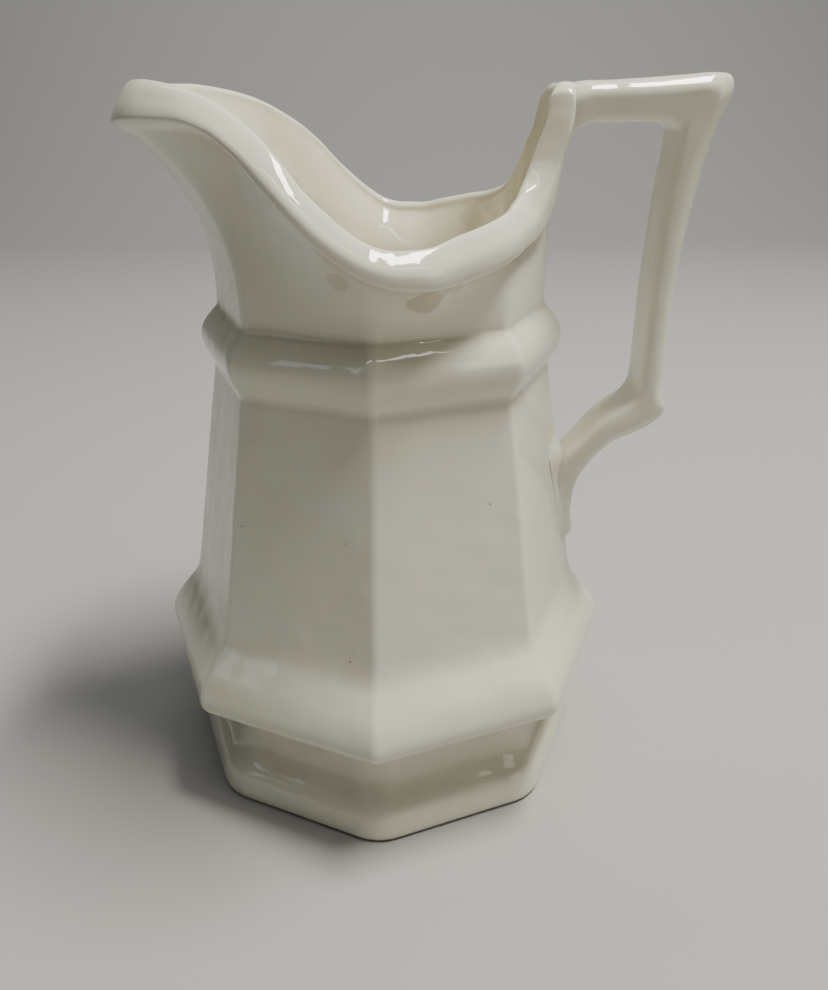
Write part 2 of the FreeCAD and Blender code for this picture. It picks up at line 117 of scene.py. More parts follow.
# The lip's outer face, from its lower edge to the crest, as shares of how far the edge stands out
# and of the lip's height: a slanted band at the front that turns into a fuller curve at the spout.
LIP_BAND = [
    (0.98, 0.12), (1.0, 0.26), (0.97, 0.40), (0.86, 0.54), (0.63, 0.70), (0.37, 0.85), (0.15, 0.95)]
LIP_BAND_AT_SPOUT = [
    (1.0, 0.03), (0.97, 0.11), (0.90, 0.23), (0.79, 0.38), (0.62, 0.57), (0.40, 0.79), (0.18, 0.94)]
RISER_SHARES = [0.0, 0.25, 0.5, 0.7, 0.85, 0.95, 0.99]
RISER_SQUARENESS = 6.2
LIP_TURNS_TO_SPOUT = (100.0, 155.0)
BAND_TOP_Z = 99.1
NECK_CORNER = 32.9
NECK_ROUNDING = 3.0
NECK_ROUNDING_GAIN = 4.5
# How much of the octagon fades out of the neck by the lip, and how much more fades at the sides.
NECK_FADE = 0.65
NECK_FRONT_FADE = 0.2
NECK_FRONT = (50.0, 70.0, 110.0, 130.0)
# The side arris leans this many degrees towards the spout by the top of the neck.
SIDE_ARRIS = 135.0
ARRIS_SWEEP = 20.0
NECK_INNER_CORNER = 28.9
NECK_INNER_ROUNDING = 10.0
MOUTH_FLARE = 2.2

# The handle, as pairs of points (x, z) across the strap: inner face, outer face, then half its
# width and how far towards the outer face its widest ridge lies.
HANDLE_STATIONS = [
    ((36.6, 131.2), (36.6, 138.6), 7.2, 0.75),
    ((38.4, 131.8), (38.6, 138.6), 7.05, 0.74),
    ((41.0, 131.8), (41.4, 138.6), 6.9, 0.74),
    ((48.6, 131.8), (49.4, 139.0), 6.8, 0.74),
    ((51.4, 131.7), (55.2, 139.4), 6.8, 0.74),
    ((52.8, 131.1), (59.4, 139.6), 6.8, 0.76),
    ((53.4, 130.5), (61.6, 139.3), 6.8, 0.73),
    ((53.6, 129.7), (62.4, 138.1), 6.8, 0.70),
    ((53.6, 128.6), (62.4, 136.2), 6.8, 0.64),
    ((53.4, 126.6), (60.8, 131.6), 6.8, 0.60),
    ((53.2, 124.0), (59.5, 126.4), 6.8, 0.58),
    ((52.8, 118.9), (58.4, 119.6), 6.8, 0.57),
    ((52.4, 109.4), (57.3, 109.6), 6.8, 0.57),
    ((52.2, 100.0), (56.8, 100.0), 6.7, 0.57),
    ((52.3, 90.0), (56.9, 89.6), 6.7, 0.57),
    ((52.4, 84.4), (57.3, 82.0), 6.7, 0.57),
    ((52.0, 81.6), (58.3, 77.5), 6.7, 0.58),
    ((50.6, 79.5), (55.4, 74.4), 6.6, 0.60),
    ((47.8, 77.6), (51.6, 72.3), 6.5, 0.60),
    ((45.0, 75.3), (48.4, 70.7), 6.3, 0.60),
    ((42.2, 72.0), (45.4, 67.4), 5.9, 0.60),
    ((38.6, 67.4), (43.2, 63.9), 5.5, 0.48),
    ((36.8, 61.0), (41.9, 60.4), 5.1, 0.16),
    ((37.2, 56.5), (41.4, 56.4), 4.9, 0.10),
    ((37.8, 53.0), (41.4, 53.2), 4.8, 0.10),
    ((38.3, 50.4), (42.0, 50.6), 4.8, 0.12),
    ((38.5, 49.0), (41.8, 49.0), 4.6, 0.12),
    ((38.7, 47.9), (41.0, 48.0), 4.2, 0.12)]
BURIED_TOP = ((33.6, 131.6), (33.6, 138.1), 6.5, 0.75)
BURIED_TAIL = ((38.4, 46.9), (39.6, 47.1), 3.6, 0.2)
HANDLE_OUTER_WIDTH = 0.68
HANDLE_INNER_WIDTH = 0.95
# The lower bead of slip: height, half width, and how far it stands proud of the body's arris.
LOWER_LUTING_STATIONS = [
    (71.2, 4.0, -0.9), (69.4, 5.9, 0.0), (67.0, 6.9, 0.2), (64.0, 6.4, -0.1), (60.0, 5.9, -0.2),
    (55.0, 5.6, -0.2), (50.5, 5.5, -0.2), (48.4, 5.0, -0.5), (47.2, 3.9, -1.1)]
LOWER_LUTING_DEPTH = 3.7
LOWER_LUTING_RIDGE = 0.08
LOWER_LUTING_OUTER_WIDTH = 0.5
# The rolls of clay along the inner seams and round the base: they feather out at their edges.
ROLL_HALF_ANGLE = 7.5
ROLL_THICKNESS = 0.9
ROLL_FEATHER = 0.3
ROLL_EDGE_SINK = 0.2
ROLL_BACK = 0.6
BASE_ROLL_WIDTH = 4.0
BASE_ROLL_LOW_Z = 9.8
BASE_ROLL_TOP_Z = 14.0
BASE_ROLL_TOP_CORNER = 36.0
BASE_ROLL_OVERLAP = 0.4
BASE_ROLL_OUT_POWER, BASE_ROLL_UP_POWER = 0.6, 1.7

# Corner radii round a strap's section, in the order that strap_grid gives the corners.
HANDLE_RADII = (2.2, 1.3, 1.4, 1.4, 1.3, 2.2)
LUTING_RADII = (0.6, 0.6, 3.0, 3.0, 0.6, 0.6)
UPPER_LUTING = [
    ((33.0, 127.2), (33.4, 137.4), 7.1, 0.74), ((34.6, 129.2), (34.8, 138.2), 7.35, 0.74),
    ((36.2, 131.0), (36.4, 138.45), 7.35, 0.74), ((37.8, 131.75), (38.0, 138.45), 7.1, 0.74),
    ((39.6, 132.2), (39.8, 138.3), 6.8, 0.74), ((40.6, 132.6), (40.8, 138.0), 6.4, 0.74)]
DISH = 0.5
BASE_GAP = 0.1
# Millimetres of slow ripple, and the heights between which it grows from nothing above the foot.
RIPPLE_DEPTH = 0.10
RIPPLE_GROWS = (1.0, 6.0)

# ------------------------------------------------------------------------------- detail
# Rows of points along each strip of the wall's profile.
FOOT_ROWS, SKIRT_ROWS, PANEL_ROWS, BAND_ROWS, NECK_ROWS, LIP_ROWS = 84, 40, 60, 40, 44, 56
MOUTH_ROWS, INNER_BAND_ROWS, INNER_PANEL_ROWS, INNER_LOW_ROWS = 40, 14, 40, 50
SEAT_ROWS, FOOT_INSIDE_ROWS, RESTING_ROWS = 6, 12, 8
CREST_TO_LIP_END = 10
SOFTENING = 3
CURVE_EASING = 4
# Rows over which the "inside" mark rises past the crest and falls again below the floor.
INSIDE_RISE, INSIDE_FALL = 10.0, 4.0
# Curvature given to the clay rolls, so they take a little of the pooled glaze and painted shade tint.
ROLL_CURVE = -0.06
# Rows along the straps, and how often each is eased.
HANDLE_ROWS, HANDLE_EASING = 420, 5
UPPER_LUTING_ROWS, UPPER_LUTING_EASING = 60, 2
LOWER_LUTING_ROWS, LOWER_LUTING_EASING = 120, 3
STRAP_CORNER_ROWS = 9
# Degrees between points round the wall: at a corner, away from the corners, and by the riser.
CORNER_STEP, FLAT_STEP, RISER_STEP = 0.24, 1.09, 0.3
CORNER_REACH = (2.5, 11.0)
RISER_REACH = (6.0, 22.0)
RING_STEP = 1.5
DISH_ROWS = 30
BASE_ROLL_ROWS = 14
SEAM_ROLL_COLUMNS = 25

# ------------------------------------------------------------------------------- looks
# Colours are linear. Lengths here are in metres, as the shader nodes see them.
# Share of pooled glaze colour and painted shade mixed into the concave creases and hollows.
POOL_AND_SHADE_SHARE = 0.26
GLAZE = (0.750, 0.735, 0.630, 1.0)
CLOUD_SHIFT = (0.965, 0.965, 0.945)
GLAZE_MOTTLE = (0.742, 0.710, 0.585, 1.0)
# Pooled glaze colour, made darker as painted shade for the foot's cove and the neck.
GLAZE_POOL_AND_SHADE = (0.520, 0.465, 0.310, 1.0)
GLAZE_THIN = (0.860, 0.840, 0.740, 1.0)
GLAZE_INSIDE = (0.760, 0.705, 0.520, 1.0)
SPECK = (0.160, 0.110, 0.065, 1.0)
STAIN = (0.420, 0.320, 0.190, 1.0)
RUB = (0.270, 0.260, 0.240, 1.0)
BARE = (0.620, 0.560, 0.440, 1.0)
FLOOR = (0.40, 0.40, 0.395)
# The material that each slot is painted with.
COATS = {
    "glaze": "cream_glaze", "glaze_handle": "cream_glaze_handle",
    # The inside coat: pooled glaze with painted shade in its creases.
    "glaze_inside": "cream_glaze_pooled_shaded", "glaze_base": "cream_glaze_base"}
# Scales, per metre, of the noise behind each mark on the glaze.
CLOUD_SCALE, MOTTLE_SCALE, TORN_SCALE, RUB_SCALE = 38.0, 170.0, 330.0, 260.0
SMEAR_SCALE, RIPPLE_SCALE, PEEL_SCALE = 55.0, 150.0, 900.0
# Turn per millimetre at which glaze starts to pool (a darker tint that is partly painted shade) or
# thin, and at which it has fully.
POOL_AND_SHADE_TURN = (-0.015, -0.22)
THIN_TURN = (0.10, 0.42)
MOTTLE_SHARE, THIN_SHARE, INSIDE_SHARE = 0.35, 0.18, 0.5
# Spots: metres between cells, reach in cells from full to none, and the share of cells kept.
SPECKS = (0.0052, 0.03, 0.055, 0.10)
PALE_SPOTS = (0.0037, 0.05, 0.11, 0.12)
PITS = (0.0044, 0.02, 0.05, 0.14)
SPECK_SHARE, PALE_SHARE = 0.75, 0.35
RIPPLE_HEIGHT, PEEL_HEIGHT, PIT_DEPTH = 0.00016, 0.000010, -0.00010
# Heights in metres between which the skirt's edge is rubbed and the resting edge is bare.
RUB_ABOVE, RUB_BELOW = (0.0246, 0.0238), (0.0220, 0.0232)
REST_HEIGHT = (0.0007, 0.0002)
RUB_SHARE, BARE_SHARE, BARE_ROUGHNESS = 0.55, 0.8, 0.75
GLOSS = (0.035, 0.11)
GLAZE_IOR = 1.52
DEEP_LIGHT_SHARE = 0.12
DEEP_LIGHT_REACH = (0.0016, 0.0012, 0.0008)
PAPER_ROUGHNESS = 0.8
# Where tea has stained the neck: centre and reach in millimetres, and strength.
STAINS = [
    ((9.6, -34.6, 105.8), (6.8, 6.0, 4.0), 0.50), ((14.0, -33.0, 107.6), (4.0, 5.0, 2.4), 0.36),
    ((-5.5, -35.5, 109.6), (3.6, 5.0, 2.6), 0.30)]

# ------------------------------------------------------------------------------- studio
# Lights: name, place, aim, size, watts, colour.
LIGHTS = [
    ("overhead", (0.27, 0.0, 0.92), (0.0, 0.0, 0.10), (0.40, 0.15), 13.8, (1.0, 0.96, 0.85)),
    ("ceiling_strip", (0.02, -0.33, 0.92), (0.0, 0.0, 0.10), (1.1, 0.04), 1.3, (1.0, 0.98, 0.94)),
    ("window_left", (-0.85, -0.60, 0.62), (0.0, 0.0, 0.08), (0.08, 0.36), 0.14, (0.72, 0.87, 1.0)),
    ("warm_right", (0.85, -0.50, 0.36), (0.0, 0.0, 0.08), (0.4, 0.5), 1.3, (1.0, 0.90, 0.72)),
    ("backdrop_wash", (0.0, 0.45, 1.15), (0.0, 1.15, 0.35), (1.4, 0.20), 5.0, (1.0, 1.0, 1.0))]
WORLD = ((0.80, 0.90, 1.0), 0.018)
# The paper: its half width, where it starts in front, where it bends up, and its top, in metres.
PAPER_HALF_WIDTH, PAPER_FRONT, PAPER_BEND, PAPER_TOP = 2.4, -2.2, 0.75, 2.4
PAPER_BEND_RADIUS, PAPER_BEND_ROWS = 0.45, 24
# The camera: its place in metres, its angles in degrees, and its lens.
CAMERA_PLACE = (0.00643, -0.1665, 0.1347)
CAMERA_AZIMUTH, CAMERA_ELEVATION, CAMERA_TILT = 1.92, 25.03, -0.57
SENSOR_WIDTH, LENS = 36.0, 30.109
SHIFT = (0.0283, -0.0020)
CLIP = (0.01, 20.0)


# ------------------------------------------------------------------------------- curves
def follow(points, at):
    """Smooth monotone curve through (place, value) points, for one place or an array."""
    x = np.array([p[0] for p in points], float)
    y = np.array([p[1] for p in points], float)
    at = np.clip(np.asarray(at, float), x[0], x[-1])
    step = np.diff(x)
    slope = np.diff(y) / step
    tangent = np.zeros(len(x))
    tangent[-1] = slope[-1]
    product = slope[:-1] * slope[1:]
    total = slope[:-1] + slope[1:]
    safe = np.where(product > 0, total, 1.0)
    tangent[1:-1] = np.where(product > 0, 2.0 * product / safe, 0.0)
    i = np.clip(np.searchsorted(x, at, side="right") - 1, 0, len(x) - 2)
    t = (at - x[i]) / step[i]
    start = (1 + 2 * t) * (1 - t) ** 2 * y[i] + t * (1 - t) ** 2 * step[i] * tangent[i]
    return start + t * t * (3 - 2 * t) * y[i + 1] + t * t * (t - 1) * step[i] * tangent[i + 1]


def ease(low, high, value):
    """Ease from 0 at low to 1 at high."""
    t = np.clip((value - low) / (high - low), 0.0, 1.0)
    return t * t * (3.0 - 2.0 * t)


def through(points, count):
    """Centripetal Catmull-Rom curve through rows of numbers, as count rows."""
    p = np.array(points, float)
    if len(p) == 2:
        return p[0] + (p[1] - p[0]) * np.linspace(0, 1, count)[:, None]
    p = np.vstack([2 * p[0] - p[1], p, 2 * p[-1] - p[-2]])
    knots = np.concatenate([[0], np.cumsum(np.linalg.norm(np.diff(p, axis=0), axis=1) ** 0.5)])
    places = np.linspace(knots[1], knots[-2], count)
    i = np.clip(np.searchsorted(knots, places, side="right") - 1, 1, len(p) - 3)

    def mix(a, b, ka, kb):
        share = ((places - ka) / (kb - ka))[:, None]
        return a * (1 - share) + b * share

    a1 = mix(p[i - 1], p[i], knots[i - 1], knots[i])
    a2 = mix(p[i], p[i + 1], knots[i], knots[i + 1])
    a3 = mix(p[i + 1], p[i + 2], knots[i + 1], knots[i + 2])
    b1 = mix(a1, a2, knots[i - 1], knots[i + 1])
    b2 = mix(a2, a3, knots[i], knots[i + 2])
    return mix(b1, b2, knots[i], knots[i + 1])


def octagon(angle, corner, rounding):
    """Polar radius of an octagon with a corner at angle 0 and rounded corners."""
    turn = np.radians(np.abs((angle + 22.5) % 45.0 - 22.5))
    tangent = rounding * math.tan(HALF_SIDE)
    limit = np.arctan2(tangent * math.cos(HALF_SIDE), corner - tangent * math.sin(HALF_SIDE))
    centre = corner - rounding / math.cos(HALF_SIDE)
    inside = np.maximum(rounding ** 2 - (centre * np.sin(turn)) ** 2, 0.0)
    rounded = centre * np.cos(turn) + np.sqrt(inside)
    flat = corner * math.cos(HALF_SIDE) / np.cos(HALF_SIDE - turn)
    return np.where(turn < limit, rounded, flat)


# ------------------------------------------------------------------------------- the wall
def ring_strip(rings, angles, count):
    """(angles x count) radii and heights of a stack of octagon rings."""
    dense = through([(corner, height, rounding) for height, corner, rounding in rings], count)
    corner, height, rounding = dense[:, 0], dense[:, 1], dense[:, 2]
    radius = octagon(angles[:, None], corner[None, :], rounding[None, :])
    return np.stack([radius, np.broadcast_to(height, radius.shape)], axis=-1)


def mouth_at(angles):
    """The lip's measures at each angle."""
    out = follow(CREST_OUT, angles)
    edge_up = follow(EDGE_UP, angles)
    riser = 1.0 - ease(*RISER_ENDS, angles)
    edge_out = (out + follow(EDGE_OVER, angles)) * (1 - riser) + follow(RISER_BACK, edge_up) * riser
    return {
        "out": out, "up": follow(CREST_UP, angles), "edge_out": edge_out, "edge_up": edge_up,
        "riser": riser, "drop": follow(EDGE_DROP, angles), "tuck": follow(EDGE_TUCK, angles)}


def swept_angle(angle, rise):
    """Where the octagon's corners go as the neck rises: the side arrises sweep to the spout."""
    corner = SIDE_ARRIS + ARRIS_SWEEP * rise * ease(0.0, 1.0, rise)
    near = 90.0 + 45.0 * (angle - 90.0) / (corner - 90.0)
    far = SIDE_ARRIS + 45.0 * (angle - corner) / (180.0 - corner)
    return np.where(angle <= 90.0, angle, np.where(angle <= corner, near, far))


def neck_strip(angles, count):
    """Outside of the neck, from the top of the band to just under the lip's edge."""
    mouth = {key: value[:, None] for key, value in mouth_at(angles).items()}
    rise = np.linspace(0, 1, count)[None, :]
    angle = angles[:, None]
    top_out = mouth["edge_out"] - mouth["tuck"]
    top_up = mouth["edge_up"] - mouth["drop"]
    lift = rise ** follow(NECK_FLARE, angle)
    smooth_out = NECK_CORNER * (1 - lift) + top_out * lift
    front = ease(*NECK_FRONT[:2], angle) - ease(*NECK_FRONT[2:], angle)
    fade = NECK_FADE + NECK_FRONT_FADE * front
    rounding = NECK_ROUNDING + NECK_ROUNDING_GAIN * rise
    facet = octagon(swept_angle(angle, rise), NECK_CORNER, rounding) / NECK_CORNER
    radius = smooth_out * (1 + (1 - rise * fade) * (facet - 1))
    return np.stack([radius, BAND_TOP_Z + (top_up - BAND_TOP_Z) * rise], axis=-1)


def lip_strip(angles, under, count):
    """Over the lip, from under its edge, up its face and over the crest to the inside."""
    mouth = mouth_at(angles)
    over, tall = mouth["edge_out"] - mouth["out"], mouth["up"] - mouth["edge_up"]
    spout, riser = ease(*LIP_TURNS_TO_SPOUT, angles), mouth["riser"]
    tucked = mouth["edge_out"] - UNDERCUT_OUT * mouth["tuck"]
    dropped = mouth["edge_up"] - UNDERCUT_DOWN * mouth["drop"]
    rows = [under, np.stack([tucked, dropped], axis=-1)]
    for front, end, share in zip(LIP_BAND, LIP_BAND_AT_SPOUT, RISER_SHARES):
        band_out = mouth["out"] + over * (front[0] * (1 - spout) + end[0] * spout)
        band_up = mouth["edge_up"] + tall * (front[1] * (1 - spout) + end[1] * spout)
        height = mouth["edge_up"] + tall * share
        reach = (1 - share ** RISER_SQUARENESS) ** (1 / RISER_SQUARENESS)
        back = mouth["out"] + (follow(RISER_BACK, height) - mouth["out"]) * reach
        rows.append(np.stack([
            band_out * (1 - riser) + back * riser, band_up * (1 - riser) + height * riser], axis=-1))
    for inwards, down in LIP_INNER_SHARES:
        rows.append(np.stack([
            mouth["out"] - inwards * LIP_INNER_DEPTH, mouth["up"] - down * LIP_INNER_DROP], axis=-1))
    grid = np.stack(rows, axis=1)
    return np.stack([through(profile, count) for profile in grid])


def mouth_inside_strip(angles, count):
    """Inside of the neck and spout, from the lip down to the level of the band's top."""
    mouth = mouth_at(angles)
    top_out = (mouth["out"] - LIP_INNER_DEPTH)[:, None]
    top_up = (mouth["up"] - LIP_INNER_DROP)[:, None]
    low_out = octagon(angles, NECK_INNER_CORNER, NECK_INNER_ROUNDING)[:, None]
    rise = np.linspace(1, 0, count)[None, :]
    radius = low_out + (top_out - low_out) * rise ** MOUTH_FLARE
    return np.stack([radius, BAND_TOP_Z + (top_up - BAND_TOP_Z) * rise], axis=-1)


def ring_points(radius, turn, height):
    """Points from their radii, turns in radians and heights."""
    return np.stack([radius * np.cos(turn), radius * np.sin(turn), height], axis=-1)


def softened(grid, passes):
    """The closed profiles with their creases eased, as glaze eases them."""
    for _ in range(passes):
        grid = 0.5 * grid + 0.25 * (np.roll(grid, 1, axis=1) + np.roll(grid, -1, axis=1))
    return grid


def wall_grid(angles):
    """(angles x profile) radii and heights all round the wall's closed section.

    Also gives the columns where the profile crosses the lip's crest and where it reaches the floor.
    """
    def up(rings, count):
        return ring_strip(rings, angles, count)

    def down(rings, count):
        return ring_strip(rings, angles, count)[:, ::-1]

    neck = neck_strip(angles, NECK_ROWS)
    outside = [
        up(FOOT_RINGS, FOOT_ROWS), up(SKIRT_RINGS, SKIRT_ROWS), up(PANEL_RINGS, PANEL_ROWS),
        up(BAND_RINGS, BAND_ROWS), neck, lip_strip(angles, neck[:, -1], LIP_ROWS)]
    inside = [
        mouth_inside_strip(angles, MOUTH_ROWS), down(INNER_BAND_RINGS, INNER_BAND_ROWS),
        down(INNER_PANEL_RINGS, INNER_PANEL_ROWS), down(INNER_LOW_RINGS, INNER_LOW_ROWS)]
    under = [
        up(BASE_SEAT, SEAT_ROWS), down(FOOT_INSIDE, FOOT_INSIDE_ROWS), up(RESTING_RING, RESTING_ROWS)]
    grid = np.concatenate([part[:, :-1] for part in outside + inside + under], axis=1)
    lip_end = sum(part.shape[1] - 1 for part in outside)
    floor = lip_end + sum(part.shape[1] - 1 for part in inside)
    return softened(grid, SOFTENING), lip_end - CREST_TO_LIP_END, floor


def wall_angles():
    """Angles from seam to seam, close together at the octagon's corners and the riser."""
    angles = [0.0]
    while angles[-1] < 180.0:
        from_corner = abs((angles[-1] + 22.5) % 45.0 - 22.5)
        step = CORNER_STEP + (FLAT_STEP - CORNER_STEP) * ease(*CORNER_REACH, from_corner)
        if RISER_REACH[0] < angles[-1] < RISER_REACH[1]:
            step = RISER_STEP
        angles.append(angles[-1] + step)
    angles = np.array(angles)
    return angles * 180.0 / angles[-1]


def waviness(points):
    """Millimetres of slow ripple that a hand-finished, thickly glazed surface has at each point."""
    x, y, z = points[..., 0], points[..., 1], points[..., 2]
    ripple = 0.5 * np.sin(x * 0.21 + z * 0.11 + 1.3) * np.sin(y * 0.19 - z * 0.07 + 0.4)
    ripple += 0.3 * np.sin(x * 0.43 - y * 0.31 + z * 0.23) * np.sin(z * 0.37 + y * 0.29 + 2.1)
    ripple += 0.2 * np.sin(z * 0.71 + x * 0.53 + 0.7) * np.sin(y * 0.61 - x * 0.47 + z * 0.33)
    return RIPPLE_DEPTH * ripple


def grid_normals(points, closed):
    """Unit normals of a grid of points, taken from its neighbours along both directions."""
    def across(axis, wrap):
        if wrap:
            return np.roll(points, -1, axis=axis) - np.roll(points, 1, axis=axis)
        return np.gradient(points, axis=axis)

    normal = np.cross(across(0, closed[0]), across(1, closed[1]))
    return normal / np.maximum(np.linalg.norm(normal, axis=-1, keepdims=True), 1e-12)


def curvature(points, normals, closed):
    """How convex (+) or concave (-) the surface is at each point, as turn per millimetre."""
    total = np.zeros(points.shape[:2])
    for axis, wrap in ((0, closed[0]), (1, closed[1])):
        if wrap:
            ahead, behind = np.roll(points, -1, axis=axis), np.roll(points, 1, axis=axis)
            n_ahead, n_behind = np.roll(normals, -1, axis=axis), np.roll(normals, 1, axis=axis)
            move, turn = ahead - behind, n_ahead - n_behind
        else:
            move, turn = np.gradient(points, axis=axis), np.gradient(normals, axis=axis)
        total += np.sum(turn * move, axis=-1) / np.maximum(np.sum(move * move, axis=-1), 1e-9)
    for _ in range(CURVE_EASING):
        total = 0.5 * total + 0.25 * (np.roll(total, 1, axis=1) + np.roll(total, -1, axis=1))
    return total


def loop_faces(rows, columns):
    """Quads of a grid whose columns close into a loop, with an end face on each end."""
    index = np.arange(rows * columns).reshape(rows, columns)
    a, b = index[:-1], index[1:]
    quads = np.stack([a, b, np.roll(b, -1, 1), np.roll(a, -1, 1)], axis=-1).reshape(-1, 4)
    return quads.tolist() + [index[0].tolist(), index[-1][::-1].tolist()]


def make_piece(name, points, normals, marks, faces, end_normals, slot_name):
    """A mesh object from a grid of points, with its own normals and a few marks per point."""
    mesh = bpy.data.meshes.new(name)
    low, high = (np.array(corner) / MM for corner in cad_box)
    points = np.clip(points.reshape(-1, 3), low, high)
    mesh.from_pydata((points * MM).tolist(), [], faces)
    mesh.polygons.foreach_set("use_smooth", [True] * len(mesh.polygons))
    for mark, values in marks.items():
        attribute = mesh.attributes.new(mark, "FLOAT", "POINT")
        attribute.data.foreach_set("value", np.ascontiguousarray(values, float).ravel())
    corners = np.empty(len(mesh.loops), int)
    mesh.loops.foreach_get("vertex_index", corners)
    loop_normals = normals.reshape(-1, 3)[corners]
    for polygon, normal in zip(list(mesh.polygons)[-len(end_normals):], end_normals):
        loop_normals[polygon.loop_start:polygon.loop_start + polygon.loop_total] = normal
    mesh.normals_split_custom_set(loop_normals.tolist())
    mesh.materials.append(bpy.data.materials[COATS[slot_name]])
    piece = bpy.data.objects.new(name + ".glazed", mesh)
    bpy.context.scene.collection.objects.link(piece)
    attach(piece, "root")
    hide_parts(name)


def wall_marks(whole, normals, inside_from, inside_to):
    """Marks that the glaze follows: how curved the surface is and how far inside the jug it is."""
    curve = curvature(whole, normals, (True, True))
    column = np.arange(whole.shape[1])
    begun = ease(inside_from, inside_from + INSIDE_RISE, column)
    ended = ease(inside_to, inside_to + INSIDE_FALL, column)
    return {"curve": curve, "inside": np.broadcast_to(begun * (1.0 - ended), curve.shape)}


def whole_wall():
    """Both halves' surface as one ring, so that nothing shows where they meet."""
    angles = wall_angles()
    grid, crest, floor = wall_grid(angles)
    turn = np.radians(angles)[:, None]
    points = ring_points(grid[..., 0], turn, grid[..., 1])
    whole = np.concatenate([points, points[-2:0:-1] * np.array([1, -1, 1])])
    normals = grid_normals(whole, (True, True))
    whole = whole + normals * (waviness(whole) * ease(*RIPPLE_GROWS, whole[..., 2]))[..., None]
    normals = grid_normals(whole, (True, True))
    return whole, normals, wall_marks(whole, normals, crest, floor), len(angles)


def half_walls():
    """The two moulded halves of the body, cut from the one ring along the seam plane."""
    whole, normals, marks, count = whole_wall()
    halves = {
        "left_wall": (np.append(np.arange(count - 1, len(whole)), 0), 1.0),
        "right_wall": (np.arange(count), -1.0)}
    for name, (order, facing) in halves.items():
        faces = loop_faces(len(order), whole.shape[1])
        own = {mark: values[order] for mark, values in marks.items()}
        seam = (0.0, facing, 0.0)
        make_piece(name, whole[order], normals[order], own, faces, [seam, seam], "glaze")


# ------------------------------------------------------------------------- the handle
def rounded_loop(corners, radii, steps):
    """Loops with rounded corners: corners is (rows, corner, 3) and radii one length per corner."""
    rows = []
    count = corners.shape[1]
    for k in range(count):
        here, before, after = corners[:, k], corners[:, k - 1], corners[:, (k + 1) % count]
        ends = []
        for other in (before, after):
            edge = other - here
            length = np.linalg.norm(edge, axis=-1, keepdims=True)
            ends.append(here + edge * np.minimum(radii[k] / np.maximum(length, 1e-6), 0.48))
        for share in np.linspace(0, 1, steps):
            rows.append(
                ends[0] * (1 - share) ** 2 + 2 * here * share * (1 - share) + ends[1] * share ** 2)
        for share in (0.25, 0.5, 0.75):
            nxt = (k + 1) % count
            edge = here - corners[:, nxt]
            length = np.linalg.norm(edge, axis=-1, keepdims=True)
            start = corners[:, nxt] + edge * np.minimum(radii[nxt] / np.maximum(length, 1e-6), 0.48)
            rows.append(ends[1] * (1 - share) + start * share)
    return np.stack(rows, axis=1)


def strap_grid(stations, count, radii, easing, outer_width):
    """Dense (along x round) points of a strap through its stations."""
    flat = [(*inner, *outer, width, ridge) for inner, outer, width, ridge in stations]
    dense = through(flat, count)
    for _ in range(easing):
        dense[1:-1] = 0.5 * dense[1:-1] + 0.25 * (dense[:-2] + dense[2:])
    start, end, width, ridge = dense[:, 0:2], dense[:, 2:4], dense[:, 4], dense[:, 5]
    corners = []
    for share, across in (
            (0.0, -HANDLE_INNER_WIDTH), (ridge, -1.0), (1.0, -outer_width),
            (1.0, outer_width), (ridge, 1.0), (0.0, HANDLE_INNER_WIDTH)):
        at = start + (end - start) * np.reshape(share * np.ones(count), (-1, 1))
        corners.append(np.stack([at[:, 0], across * width, at[:, 1]], axis=-1))
    return rounded_loop(np.stack(corners, axis=1), radii, STRAP_CORNER_ROWS)


def strap_piece(name, stations, count, radii, easing, outer_width=HANDLE_OUTER_WIDTH):
    """A strap-shaped piece with closed ends."""
    grid = strap_grid(stations, count, radii, easing, outer_width)
    normals = grid_normals(grid, (False, True))
    grid = grid + normals * waviness(grid)[..., None]
    normals = grid_normals(grid, (False, True))
    marks = {"curve": curvature(grid, normals, (False, True)), "inside": np.zeros(grid.shape[:2])}
    faces = loop_faces(*grid.shape[:2])
    middle = grid.mean(axis=1)
    tips = [middle[0] - middle[1], middle[-1] - middle[-2]]
    ends = [tip / np.linalg.norm(tip) for tip in tips]
    make_piece(name, grid, normals, marks, faces, ends, "glaze_handle")


def handle_pieces():
    """The handle and the two beads of slip that join it to the body."""
    stations = [BURIED_TOP] + HANDLE_STATIONS + [BURIED_TAIL]
    strap_piece("handle", stations, HANDLE_ROWS, HANDLE_RADII, HANDLE_EASING)
    strap_piece(
        "upper_handle_luting", UPPER_LUTING, UPPER_LUTING_ROWS, HANDLE_RADII, UPPER_LUTING_EASING)
    lower = []
    for height, half_width, proud in LOWER_LUTING_STATIONS:
        arris = float(follow([(z, corner) for z, corner, _ in PANEL_RINGS], height))
        inner, outer = (arris - LOWER_LUTING_DEPTH, height), (arris + proud, height)
        lower.append((inner, outer, half_width, LOWER_LUTING_RIDGE))
    strap_piece(
        "lower_handle_luting", lower, LOWER_LUTING_ROWS, LUTING_RADII, LOWER_LUTING_EASING,
        LOWER_LUTING_OUTER_WIDTH)


